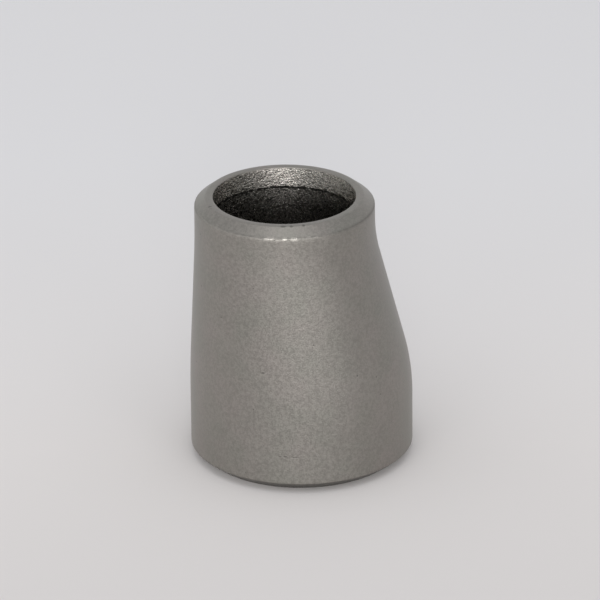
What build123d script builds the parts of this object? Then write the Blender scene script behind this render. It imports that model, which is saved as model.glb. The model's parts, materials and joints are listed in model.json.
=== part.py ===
"""Eccentric reducer: a seamless butt-weld pipe fitting, 2 x 1 1/2 inch (DN 50 x DN 40), Schedule 80S.

The large end stands on the XY plane with its axis on Z. The small end is parallel to it and
offset towards -X by half the difference of the outside diameters, so the wall on the -X side
runs straight up and the wall on the +X side leans in. Lengths are in millimetres.
"""

import os
from math import cos, radians, sin

from build123d import *

# Driving dimensions
large_diameter = 60.3  # outside, NPS 2
small_diameter = 48.3  # outside, NPS 1 1/2
length = 76.0  # face to face
large_wall = 5.54
small_wall = 5.08

bevel_angle = 37.5  # of the weld bevel, measured from the plane of the end face
root_face = 2.1  # flat ring left between the bevel and the bore

lean_angle = 16.5  # of the +X wall, measured from the axis
large_shoulder_radius = 55.0  # outside bend above the large end
small_shoulder_radius = 38.0  # outside bend below the small end
sections_per_bend = 5

bored_depth = 5.6  # straight bore turned in the small end
bore_relief = 0.6  # step outwards from that bore to the pressed inside

bore_edge_round = 0.35
bevel_edge_round = 0.3

# Worked out from them
large_radius = large_diameter / 2
small_radius = small_diameter / 2
large_bore_radius = large_radius - large_wall
small_bore_radius = small_radius - small_wall
pressed_bore_radius = small_bore_radius + bore_relief
axis_offset = large_radius - small_radius

lean_in = 2 * axis_offset  # how far the +X wall moves in
both_radii = large_shoulder_radius + small_shoulder_radius
lean = radians(lean_angle)
straight_lean = (lean_in - both_radii * (1 - cos(lean))) / sin(lean)
taper_height = both_radii * sin(lean) + straight_lean * cos(lean)
small_end_straight = bored_depth + bore_relief
taper_top = length - small_end_straight
taper_base = taper_top - taper_height

# Level sections of the taper: the height of each, and its share of the lean, from 0 to 1
taper_sections = []
for step in range(sections_per_bend + 1):
    turn = lean * step / sections_per_bend
    height = taper_base + large_shoulder_radius * sin(turn)
    taper_sections.append((height, large_shoulder_radius * (1 - cos(turn)) / lean_in))
for step in range(sections_per_bend, -1, -1):
    turn = lean * step / sections_per_bend
    height = taper_top - small_shoulder_radius * sin(turn)
    taper_sections.append((height, 1 - small_shoulder_radius * (1 - cos(turn)) / lean_in))

# The one piece: a pressed shell with machined ends
with BuildPart() as reducer_body:
    # Outside: a straight large end, an offset taper and a short straight small end
    with BuildSketch(Plane.XY):
        Circle(large_radius)
    extrude(amount=taper_base)
    for height, share in taper_sections:
        with BuildSketch(Plane((-axis_offset * share, 0, height))):
            Circle(large_radius + (small_radius - large_radius) * share)
    loft()
    with BuildSketch(Plane((-axis_offset, 0, taper_top))):
        Circle(small_radius)
    extrude(amount=small_end_straight)

    # Passage: the same three lengths, then the relief and the turned bore of the small end
    with BuildSketch(Plane.XY):
        Circle(large_bore_radius)
    extrude(amount=taper_base, mode=Mode.SUBTRACT)
    for height, share in taper_sections:
        with BuildSketch(Plane((-axis_offset * share, 0, height))):
            Circle(large_bore_radius + (pressed_bore_radius - large_bore_radius) * share)
    loft(mode=Mode.SUBTRACT)
    with BuildSketch(Plane((-axis_offset, 0, taper_top))):
        Circle(pressed_bore_radius)
    extrude(amount=bore_relief, taper=45, mode=Mode.SUBTRACT)
    with BuildSketch(Plane((-axis_offset, 0, length))):
        Circle(small_bore_radius)
    extrude(amount=-bored_depth, mode=Mode.SUBTRACT)

    # Weld bevels, each with its root face left flat
    for which_end, wall in ((0, large_wall), (-1, small_wall)):
        end_face = reducer_body.faces().sort_by(Axis.Z)[which_end]
        outer_edge = end_face.edges().sort_by(SortBy.RADIUS)[-1]
        chamfer(outer_edge, length=wall - root_face, angle=bevel_angle, reference=end_face)

    # Broken edges: the mouth of each bore and the outer edge of each bevel
    for which_end in (0, -1):
        end_face = reducer_body.faces().sort_by(Axis.Z)[which_end]
        fillet(end_face.edges().sort_by(SortBy.RADIUS)[0], radius=bore_edge_round)
        bevel = reducer_body.faces().filter_by(GeomType.CONE).sort_by(Axis.Z)[which_end]
        bevel_circles = bevel.edges().filter_by(GeomType.CIRCLE)
        fillet(bevel_circles.sort_by(SortBy.RADIUS)[-1], radius=bevel_edge_round)

reducer_body.part.label = "reducer_body"

os.makedirs("parts", exist_ok=True)
export_step(reducer_body.part, "parts/reducer_body.step")
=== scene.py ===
"""The looks of the eccentric reducer: one shot-blasted stainless shell, standing on a pale floor."""

import json
from math import atan2, cos, exp, pi, radians, remainder, sin, sqrt, tan

import bpy
from mathutils import Matrix, Vector, noise


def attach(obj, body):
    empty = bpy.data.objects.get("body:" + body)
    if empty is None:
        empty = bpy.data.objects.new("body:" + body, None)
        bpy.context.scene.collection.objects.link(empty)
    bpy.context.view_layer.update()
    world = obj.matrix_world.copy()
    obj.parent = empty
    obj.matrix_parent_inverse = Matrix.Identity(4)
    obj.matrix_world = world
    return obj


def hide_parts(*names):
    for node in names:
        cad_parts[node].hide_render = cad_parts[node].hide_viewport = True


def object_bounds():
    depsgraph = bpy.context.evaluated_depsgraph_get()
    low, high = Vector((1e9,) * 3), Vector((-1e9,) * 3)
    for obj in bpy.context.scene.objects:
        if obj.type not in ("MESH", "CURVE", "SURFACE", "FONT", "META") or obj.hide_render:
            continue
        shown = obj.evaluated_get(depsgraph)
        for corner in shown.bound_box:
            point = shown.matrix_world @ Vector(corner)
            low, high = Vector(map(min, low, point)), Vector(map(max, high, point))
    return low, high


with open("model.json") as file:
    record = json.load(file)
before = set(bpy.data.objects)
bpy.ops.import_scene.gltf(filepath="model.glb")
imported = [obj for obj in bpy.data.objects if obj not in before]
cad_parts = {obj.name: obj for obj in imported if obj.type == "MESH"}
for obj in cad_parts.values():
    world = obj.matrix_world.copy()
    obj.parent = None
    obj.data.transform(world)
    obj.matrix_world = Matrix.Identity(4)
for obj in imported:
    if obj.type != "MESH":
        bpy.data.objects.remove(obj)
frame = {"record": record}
cad_low, cad_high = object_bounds()

MM = 0.001

# Sizes that the frame holds
mounts = {mount["name"]: mount for mount in frame["record"]["mounts"]}


def mount_radius(name):
    return mounts[name]["dims"]["r_mm"] * MM


large_radius = mount_radius("large_end_outside")
small_radius = mount_radius("small_end_outside")
large_bore = mount_radius("large_end_bore")
small_bore = mount_radius("small_end_bore")
length = cad_high.z - cad_low.z
axis_offset = -mounts["small_end_face"]["pos_m"][0]

# Sizes of the design that the frame doesn't name
bevel_slope = tan(radians(37.5))
root_face = 2.1 * MM
lean = radians(16.5)
large_shoulder = 55 * MM
small_shoulder = 38 * MM
bored_depth = 5.6 * MM
bore_relief = 0.6 * MM
pressed_bore = small_bore + bore_relief
bore_round = 0.35 * MM
bevel_round = 0.3 * MM
land_round = 0.18 * MM

lean_in = 2 * axis_offset
both_bends = (large_shoulder + small_shoulder) * (1 - cos(lean))
lean_height = (large_shoulder + small_shoulder) * sin(lean) + (lean_in - both_bends) / tan(lean)
taper_top = length - bored_depth - bore_relief
taper_base = taper_top - lean_height

# The skin. The tints multiply each finish's shade
pinkish_steel = (1.095, 1.02, 0.945)
greenish_steel = (1.012, 0.983, 0.888)

# Wear and painted light: 0 where the rim's edge is dull and painted darker as shade, unworn on all other
# skin, 1 where the edge is rubbed and painted brighter as a highlight
unworn = 0.3
# The rubbed stretches also carry the painted highlight on the rim's edge; the first one faces the camera
rubbed_stretches = (radians(221), radians(70))
rubbed_spread = radians(21)
rim_edge_reach = 0.32 * MM

# Painted shade: darkens everything below this, which is the large end's bevel and the mouth of its bore
grimy_height = 2.6 * MM

# How far the surface strays from the ideal one, at most
wave_depth = 0.035 * MM
skin_depth = 0.012 * MM
nick_depth = 0.15 * MM
crease_raggedness = 0.4 * MM

# Fineness of the mesh
segments = 352
wall_spacing = 0.6 * MM
passage_spacing = 1.1 * MM
bore_spacing = 0.4 * MM
flat_spacing = 0.5 * MM
rounding_steps = 5


# ---------------------------------------------------------------- shape
# A ring is (radius, height, share): a level circle whose centre has moved by that share of the offset.


def lean_share(height):
    """Share of the lean that is done at a height: a bend, a straight stretch and a bend back."""
    up = height - taper_base
    down = taper_top - height
    if up <= 0:
        return 0.0
    if down <= 0:
        return 1.0
    if up < large_shoulder * sin(lean):
        return (large_shoulder - sqrt(large_shoulder**2 - up**2)) / lean_in
    if down < small_shoulder * sin(lean):
        return 1 - (small_shoulder - sqrt(small_shoulder**2 - down**2)) / lean_in
    past_bend = up - large_shoulder * sin(lean)
    return (large_shoulder * (1 - cos(lean)) + past_bend * tan(lean)) / lean_in


def wall(large, small, start, end, spacing):
    """Rings up or down a wall that is straight at both ends and leans in between."""
    count = round(abs(end - start) / spacing)
    rings = []
    for step in range(1, count):
        height = start + (end - start) * step / count
        share = lean_share(height)
        rings.append((large + (small - large) * share, height, share))
    return rings


def flat(start, end, spacing):
    """Rings between two rings, along a straight line."""
    gap = sqrt((end[0] - start[0]) ** 2 + (end[1] - start[1]) ** 2)
    count = max(2, round(gap / spacing))
    rings = []
    for step in range(1, count):
        part = step / count
        rings.append(tuple(a + (b - a) * part for a, b in zip(start, end)))
    return rings


def rounded(before, corner, after, size):
    """Rings round a broken edge, from size before the corner to size after it."""

    def towards(ring):
        gap = sqrt((ring[0] - corner[0]) ** 2 + (ring[1] - corner[1]) ** 2)
        return tuple(c + (r - c) * size / gap for c, r in zip(corner, ring))

    first, last = towards(before), towards(after)
    rings = []
    for step in range(rounding_steps + 1):
        part = step / rounding_steps
        blend = ((1 - part) ** 2, 2 * part * (1 - part), part**2)
        values = zip(first, corner, last)
        rings.append(tuple(sum(w * v for w, v in zip(blend, three)) for three in values))
    return rings


def section_corners():
    """The rings round each broken edge of the shell's section."""
    large_bevel = (large_radius - large_bore - root_face) * bevel_slope
    small_bevel = (small_radius - small_bore - root_face) * bevel_slope
    base_edge = (large_radius, large_bevel, 0.0)
    wall_foot = (large_radius, taper_base, 0.0)
    wall_head = (small_radius, taper_top, 1.0)
    rim_edge = (small_radius, length - small_bevel, 1.0)
    rim_land = (small_bore + root_face, length, 1.0)
    rim_mouth = (small_bore, length, 1.0)
    bore_end = (small_bore, taper_top + bore_relief, 1.0)
    relief_end = (pressed_bore, taper_top, 1.0)
    passage_head = (pressed_bore, taper_top - bore_relief, 1.0)
    passage_foot = (large_bore, taper_base, 0.0)
    base_mouth = (large_bore, 0.0, 0.0)
    base_land = (large_bore + root_face, 0.0, 0.0)

    return {
        "base_edge": rounded(base_land, base_edge, wall_foot, bevel_round),
        "rim_edge": rounded(wall_head, rim_edge, rim_land, bevel_round),
        "rim_land": rounded(rim_edge, rim_land, rim_mouth, land_round),
        "rim_mouth": rounded(rim_land, rim_mouth, bore_end, bore_round),
        "bore_end": rounded(rim_mouth, bore_end, relief_end, land_round),
        "relief_end": rounded(bore_end, relief_end, passage_head, land_round),
        "base_mouth": rounded(passage_foot, base_mouth, base_land, bore_round),
        "base_land": rounded(base_mouth, base_land, base_edge, land_round),
    }


def outline():
    """All rings of the shell's section, once round: up the outside and down the passage."""
    corners = section_corners()

    def between(first, second, spacing):
        return flat(corners[first][-1], corners[second][0], spacing)

    rings = corners["base_edge"]
    rings += wall(large_radius, small_radius, rings[-1][1], corners["rim_edge"][0][1], wall_spacing)
    rings += corners["rim_edge"] + between("rim_edge", "rim_land", flat_spacing)
    rings += corners["rim_land"] + between("rim_land", "rim_mouth", flat_spacing)
    rings += corners["rim_mouth"] + between("rim_mouth", "bore_end", bore_spacing)
    rings += corners["bore_end"] + between("bore_end", "relief_end", bore_spacing)
    rings += corners["relief_end"]
    rings += wall(large_bore, pressed_bore, rings[-1][1], corners["base_mouth"][0][1], passage_spacing)
    rings += corners["base_mouth"] + between("base_mouth", "base_land", flat_spacing)
    rings += corners["base_land"] + between("base_land", "base_edge", flat_spacing)
    return rings


def shell_mesh(rings):
    """A closed mesh through the rings, which join up with themselves."""
    points = []
    for radius, height, share in rings:
        centre = -axis_offset * share
        for step in range(segments):
            turn = 2 * pi * step / segments
            points.append((centre + radius * cos(turn), radius * sin(turn), height))
    faces = []
    for ring in range(len(rings)):
        here = ring * segments
        above = (ring + 1) % len(rings) * segments
        for step in range(segments):
            beside = (step + 1) % segments
            faces.append((here + step, here + beside, above + beside, above + step))
    mesh = bpy.data.meshes.new("reducer_shell")
    mesh.from_pydata(points, [], faces)
    mesh.polygons.foreach_set("use_smooth", [True] * len(mesh.polygons))
    mesh.update()
    return mesh


# ---------------------------------------------------------------- wear, and the painted highlight and shade on the rim's edge


def from_small_axis(point):
    return Vector((point.x + axis_offset, point.y)).length


def on_end_face(point):
    return min(point.z, length - point.z) < 0.001 * MM


def rim_edge_nearness(point):
    """1 on the outer edge of the small end's bevel, fading to 0 about a millimetre away."""
    rim_height = length - (small_radius - small_bore - root_face) * bevel_slope
    outwards = from_small_axis(point) - small_radius
    return exp(-((point.z - rim_height) ** 2 + outwards**2) / rim_edge_reach**2)


def rubbing(point):
    """How bright the rim's edge is rubbed, which also paints a highlight on it: in dashes, along two
    stretches of it.
    """
    turn = atan2(point.y, point.x + axis_offset)
    away = min(abs(remainder(turn - stretch, 2 * pi)) for stretch in rubbed_stretches)
    dashes = 0.15 + 5 * noise.noise(point / (1.3 * MM) + Vector((8, 5, 2)))
    return max(0.0, min(1.0, dashes)) * exp(-((away / rubbed_spread) ** 4))


def lumps(point, size, shift):
    """Smooth noise from 0 to 1, with lumps about this large. The shift picks a part of it."""
    return 0.5 + 0.5 * noise.noise(point / size + Vector(shift))


def unevenness(point):
    """How far the surface lies inside the ideal one: pressing waves, blasted skin, a nicked rim edge."""
    waves = wave_depth * lumps(point, 11 * MM, (0, 0, 0))
    skin = skin_depth * lumps(point, 1.7 * MM, (7, 3, 5))
    nicks = nick_depth * rim_edge_nearness(point) * lumps(point, 1.4 * MM, (1, 9, 4))
    return waves + skin + nicks


def crease_shift(point):
    """How far the crease under the turned bore wanders up or down. 0 away from it."""
    if from_small_axis(point) > pressed_bore + 0.1 * MM:
        return 0.0
    above_crease = point.z - taper_top - bore_relief
    nearness = exp(-(above_crease**2) / (0.7 * MM) ** 2)
    return crease_raggedness * nearness * noise.noise(point / (0.9 * MM))


def wear(mesh):
    """Makes the surface uneven, and marks how worn each point is, which also sets the painted shade and
    highlight on the rim's edge. The end faces stay flat.
    """
    normals = [vertex.normal.copy() for vertex in mesh.vertices]
    worn = []
    for vertex, normal in zip(mesh.vertices, normals):
        point = vertex.co.copy()
        worn.append(unworn + rim_edge_nearness(point) * (rubbing(point) - unworn))
        if not on_end_face(point):
            vertex.co -= normal * unevenness(point)
            vertex.co.z += crease_shift(point)
    mesh.attributes.new("worn", "FLOAT", "POINT").data.foreach_set("value", worn)
    mesh.update()


# ---------------------------------------------------------------- material


class Shading:
    """A new material's nodes, with short ways to add and join them."""

    def __init__(self, name):
        self.material = bpy.data.materials.new(name)
        self.material.use_nodes = True
        self.tree = self.material.node_tree
        self.tree.nodes.clear()
        self.shader = self.add("ShaderNodeBsdfPrincipled")
        self.link(self.shader.outputs["BSDF"], self.add("ShaderNodeOutputMaterial").inputs["Surface"])
        self.place = self.add("ShaderNodeTexCoord").outputs["Object"]

    def add(self, kind, **values):
        node = self.tree.nodes.new(kind)
        for name, value in values.items():
            node.inputs[name.replace("_", " ")].default_value = value
        return node

    def link(self, source, target):
        self.tree.links.new(source, target)

    def noise(self, size, detail=2.0, roughness=0.5, flatness=1.0):
        """Noise whose lumps are about this large, and that many times wider than they are high."""
        squeeze = self.add("ShaderNodeMapping", Scale=(1, 1, flatness))
        self.link(self.place, squeeze.inputs["Vector"])
        node = self.add("ShaderNodeTexNoise", Scale=1 / size, Detail=detail, Roughness=roughness)
        self.link(squeeze.outputs["Vector"], node.inputs["Vector"])
        return node.outputs["Fac"]

    def height(self):
        node = self.add("ShaderNodeSeparateXYZ")
        self.link(self.place, node.inputs["Vector"])
        return node.outputs["Z"]

    def surface(self, name):
        """A number that the mesh holds at each point."""
        node = self.add("ShaderNodeAttribute")
        node.attribute_name = name
        return node.outputs["Fac"]

    def sum(self, first, second, share=1.0):
        node = self.add("ShaderNodeMath")
        node.operation = "MULTIPLY_ADD"
        self.link(second, node.inputs[0])
        node.inputs[1].default_value = share
        self.link(first, node.inputs[2])
        return node.outputs["Value"]

    def spread(self, value, low, high, middle=0.5):
        """Stretches the middle of a noise to a range of numbers."""
        reach = 0.2
        edges = {"From_Min": middle - reach, "From_Max": middle + reach}
        node = self.add("ShaderNodeMapRange", To_Min=low, To_Max=high, **edges)
        self.link(value, node.inputs["Value"])
        return node.outputs["Result"]

    def fade(self, value, none, full):
        """0 where a value is at none or beyond it, 1 where it is at full or beyond it."""
        node = self.add("ShaderNodeMapRange", From_Min=none, From_Max=full)
        self.link(value, node.inputs["Value"])
        return node.outputs["Result"]

    def spot(self, place, turn, width, height):
        """1 in an oval on the skin at a place, where the skin faces that way about Z, and 0 outside it."""
        depth = 2 * MM
        half_sizes = (depth / 2, width / 2, height / 2)
        oval = self.add("ShaderNodeMapping", Location=place, Rotation=(0, 0, turn), Scale=half_sizes)
        oval.vector_type = "TEXTURE"
        self.link(self.place, oval.inputs["Vector"])
        reach = self.add("ShaderNodeVectorMath")
        reach.operation = "LENGTH"
        self.link(oval.outputs["Vector"], reach.inputs[0])
        return self.fade(reach.outputs["Value"], 1.0, 0.5)

    def pits(self, spacing, size):
        """1 in small round pits here and there, and 0 between them."""
        cells = self.add("ShaderNodeTexVoronoi", Scale=1 / spacing)
        self.link(self.place, cells.inputs["Vector"])
        return self.fade(cells.outputs["Distance"], size / spacing, size / spacing / 2)

    def colours(self, value, *stops):
        """Colours for a value, as pairs of a position and a colour."""
        node = self.add("ShaderNodeValToRGB")
        ramp = node.color_ramp
        ramp.elements.remove(ramp.elements[1])
        for index, (position, colour) in enumerate(stops):
            stop = ramp.elements.new(position) if index else ramp.elements[0]
            stop.position = position
            stop.color = (*colour, 1)
        self.link(value, node.inputs["Fac"])
        return node.outputs["Color"]

    def greys(self, value, *stops):
        """Greys for a value, as pairs of a position and a level."""
        return self.colours(value, *((position, (level, level, level)) for position, level in stops))

    def multiply(self, first, second):
        node = self.add("ShaderNodeMix")
        node.data_type = "RGBA"
        node.blend_type = "MULTIPLY"
        node.inputs[0].default_value = 1.0
        self.link(first, node.inputs[6])
        self.link(second, node.inputs[7])
        return node.outputs[2]

    def bump(self, value, height, below=None):
        """A normal for a value that stands this high, on top of the normal below it."""
        node = self.add("ShaderNodeBump", Distance=height)
        self.link(value, node.inputs["Height"])
        if below:
            self.link(below, node.inputs["Normal"])
        return node.outputs["Normal"]


def wall_mark(look, turn, height, width, tall):
    """A spot on the outside, at an angle in degrees about the axis and a height."""
    turn = radians(turn)
    share = lean_share(height)
    radius = large_radius + (small_radius - large_radius) * share
    place = (radius * cos(turn) - axis_offset * share, radius * sin(turn), height)
    return look.spot(place, turn, width, tall)


def rim_mark(look, turn, width, tall):
    """A spot on the outer edge of the small end's flat ring, at an angle in degrees about its axis."""
    turn = radians(turn)
    radius = small_bore + root_face
    return look.spot((radius * cos(turn) - axis_offset, radius * sin(turn), length), turn, width, tall)


def blemishes(look):
    """1 in the few dents and scratches that the skin has, and in its scattered pits."""
    marks = look.pits(spacing=4.6 * MM, size=0.28 * MM)
    for mark in (
        wall_mark(look, turn=211.0, height=10.7 * MM, width=1.2 * MM, tall=0.35 * MM),
        wall_mark(look, turn=213.4, height=10.8 * MM, width=1.2 * MM, tall=0.65 * MM),
        wall_mark(look, turn=218.5, height=10.7 * MM, width=3.0 * MM, tall=0.32 * MM),
        wall_mark(look, turn=203.5, height=34.8 * MM, width=1.2 * MM, tall=0.8 * MM),
        rim_mark(look, turn=152, width=0.7 * MM, tall=0.7 * MM),
        rim_mark(look, turn=221, width=1.8 * MM, tall=0.5 * MM),
        rim_mark(look, turn=227, width=1.1 * MM, tall=0.6 * MM),
        rim_mark(look, turn=236, width=1.0 * MM, tall=0.5 * MM),
    ):
        marks = look.sum(marks, mark)
    return marks


def steel(name, shade, roughness, grain_size, grain_height, grain_flatness=1.0, pitted=False):
    """Warm grey steel with a fine orange peel, a dusty speckle, worn edges that carry a painted highlight
    and painted shade, and painted shade on the foot.
    """
    look = Shading(name)
    look.shader.inputs["Metallic"].default_value = 1.0
    worn = look.surface("worn")
    # Painted shade on the foot, carried in marks together with the real pits and scratches
    grime = look.fade(look.height(), none=1.08 * grimy_height, full=0.95 * grimy_height)
    marks = look.sum(blemishes(look), grime) if pitted else grime

    greenish = Vector(greenish_steel) * shade
    pinkish = Vector(pinkish_steel) * shade
    tint = look.colours(look.noise(9 * MM, 3), (0.3, greenish), (0.7, pinkish))
    speckle = look.sum(look.noise(0.33 * MM, 1), look.noise(0.85 * MM, 1))
    dust = look.greys(look.spread(speckle, 0.0, 1.0, middle=1.0), (0.0, 0.815), (1.0, 0.985))
    # Painted light in the base colour: the dull rim edge is painted darker as shade, the rubbed stretches
    # brighter as a highlight
    bared = look.greys(worn, (0.0, 0.6), (unworn, 0.8), (1.0, 1.25))
    # Darkens the pits and scratches, and paints shade on the foot
    dirt = look.greys(marks, (0.0, 1.0), (1.0, 0.6))
    base = look.multiply(look.multiply(tint, dust), look.multiply(bared, dirt))
    look.link(base, look.shader.inputs["Base Color"])

    dusty_roughness = look.spread(speckle, roughness, roughness + 0.1, middle=1.0)
    finish = look.sum(dusty_roughness, worn, share=-0.25)
    look.link(finish, look.shader.inputs["Roughness"])

    grain = look.bump(look.noise(grain_size, 2, 0.45, grain_flatness), grain_height)
    dents = look.bump(marks, -0.02 * MM, below=grain)
    look.link(dents, look.shader.inputs["Normal"])
    return look.material


def blasted_skin():
    """The outside: shot-blasted and pickled, matt, with pits and scratches."""
    return steel(
        "blasted_skin",
        shade=0.372,
        roughness=0.464,
        grain_size=0.42 * MM,
        grain_height=0.042 * MM,
        pitted=True,
    )


def turned_bore_skin():
    """The small end's bore: bright, with coarse level ripples."""
    return steel(
        "turned_bore_skin",
        shade=0.72,
        roughness=0.265,
        grain_size=0.62 * MM,
        grain_height=0.26 * MM,
        grain_flatness=2.2,
    )


def pressed_passage_skin():
    """The rest of the passage: darker, with finer ripples."""
    return steel(
        "pressed_passage_skin",
        shade=0.31,
        roughness=0.284,
        grain_size=0.46 * MM,
        grain_height=0.26 * MM,
        grain_flatness=1.5,
    )


def paint(mesh):
    """Gives the outside, the turned bore and the pressed passage their own finish, by where faces lie."""
    outside, turned_bore, passage = 0, 1, 2
    for finish in (blasted_skin(), turned_bore_skin(), pressed_passage_skin()):
        mesh.materials.append(finish)
    for face in mesh.polygons:
        middle = face.center
        share = lean_share(middle.z)
        from_centre = Vector((middle.x + axis_offset * share, middle.y)).length
        wall_middle = (large_radius + large_bore) / 2 + (small_radius - large_radius) * share
        inside = from_centre < wall_middle and bore_round < middle.z < length - bore_round
        above_crease = middle.z > taper_top + bore_relief
        face.material_index = (turned_bore if above_crease else passage) if inside else outside


def floor_material(view_azimuth):
    """Matt white paper with painted light that makes it a little lighter and cooler further from the
    camera.
    """
    # Painted light: the paper's colour grows lighter and cooler away from the camera
    nearest = (0.689, 0.663, 0.654)
    middle = (0.762, 0.734, 0.723)
    furthest = (0.785, 0.777, 0.787)
    look = Shading("floor_paper")
    look.shader.inputs["Roughness"].default_value = 0.9
    look.shader.inputs["Specular IOR Level"].default_value = 0.2
    away = look.add("ShaderNodeVectorMath")
    away.operation = "DOT_PRODUCT"
    away.inputs[1].default_value = (-sin(view_azimuth), cos(view_azimuth), 0)
    look.link(look.place, away.inputs[0])
    distance = look.add("ShaderNodeMapRange", From_Min=-0.1, From_Max=0.2)
    look.link(away.outputs["Value"], distance.inputs["Value"])
    paper = look.colours(distance.outputs["Result"], (0.0, nearest), (0.33, middle), (1.0, furthest))
    look.link(paper, look.shader.inputs["Base Color"])
    return look.material


# ---------------------------------------------------------------- studio


def add_camera():
    """Looks down at the reducer from the side where its straight wall faces left and forward."""
    azimuth = radians(-47.86)
    elevation = radians(24.40)
    look_down = radians(24.22)
    roll = radians(-0.58)
    distance = 1.5
    camera = bpy.data.objects.new("camera", bpy.data.cameras.new("camera"))
    bpy.context.scene.collection.objects.link(camera)
    camera.data.sensor_width = 36
    camera.data.lens = 333.3
    camera.data.shift_x = -0.001
    camera.data.shift_y = 0.0008
    camera.data.clip_start = 0.05
    camera.data.clip_end = 50
    level = distance * cos(elevation)
    place = Vector((level * sin(azimuth), -level * cos(azimuth), length / 2 + distance * sin(elevation)))
    turn = Matrix.Rotation(azimuth, 4, "Z") @ Matrix.Rotation(pi / 2 - look_down, 4, "X")
    camera.matrix_world = Matrix.Translation(place) @ turn @ Matrix.Rotation(roll, 4, "Z")
    bpy.context.scene.camera = camera
    return azimuth


def add_floor(view_azimuth):
    half = 6.0
    corners = [(-half, -half, 0), (half, -half, 0), (half, half, 0), (-half, half, 0)]
    mesh = bpy.data.meshes.new("floor")
    mesh.from_pydata(corners, [], [(0, 1, 2, 3)])
    floor = bpy.data.objects.new("floor", mesh)
    bpy.context.scene.collection.objects.link(floor)
    mesh.materials.append(floor_material(view_azimuth))


def add_panel(name, azimuth, elevation, distance, size, radiance):
    """A soft rectangular light that faces the reducer's middle. Size is its width and height."""
    width, height = size
    light = bpy.data.lights.new(name, "AREA")
    light.shape = "RECTANGLE"
    light.size = width
    light.size_y = height
    light.energy = radiance * pi * width * height
    lamp = bpy.data.objects.new(name, light)
    bpy.context.scene.collection.objects.link(lamp)
    level = distance * cos(elevation)
    away = Vector((level * sin(azimuth), -level * cos(azimuth), distance * sin(elevation)))
    lamp.location = Vector((0, 0, length / 2)) + away
    lamp.rotation_euler = away.to_track_quat("Z", "Y").to_euler()
    lamp.visible_camera = False


def add_lights(view_azimuth):
    """A pale room, a panel overhead, wide low ones on three sides, a high one and a small key in front."""
    world = bpy.data.worlds.new("studio")
    bpy.context.scene.world = world
    world.use_nodes = True
    background = world.node_tree.nodes["Background"]
    background.inputs["Color"].default_value = (0.99, 1.0, 1.02, 1)
    background.inputs["Strength"].default_value = 0.65
    low = radians(10)
    wide = (2.6, 0.5)
    add_panel("overhead", view_azimuth, radians(89), 1.2, (0.5, 0.5), radiance=1.35)
    add_panel("left_low", view_azimuth - pi / 2, low, 1.5, wide, radiance=1.14)
    add_panel("back_low", view_azimuth + pi, low, 1.5, wide, radiance=0.26)
    add_panel("front_low", view_azimuth, low, 1.5, wide, radiance=3.0)
    add_panel("front_high", view_azimuth, radians(57), 1.2, (1.15, 0.53), radiance=0.67)
    add_panel("key", view_azimuth + radians(1), radians(17.5), 1.2, (0.22, 0.30), radiance=9)


# ---------------------------------------------------------------- making

view_azimuth = add_camera()
add_floor(view_azimuth)
add_lights(view_azimuth)

shell = bpy.data.objects.new("reducer_shell", shell_mesh(outline()))
bpy.context.scene.collection.objects.link(shell)
wear(shell.data)
paint(shell.data)
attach(shell, "root")
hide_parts("reducer_body")

bpy.context.scene.view_settings.view_transform = "Standard"
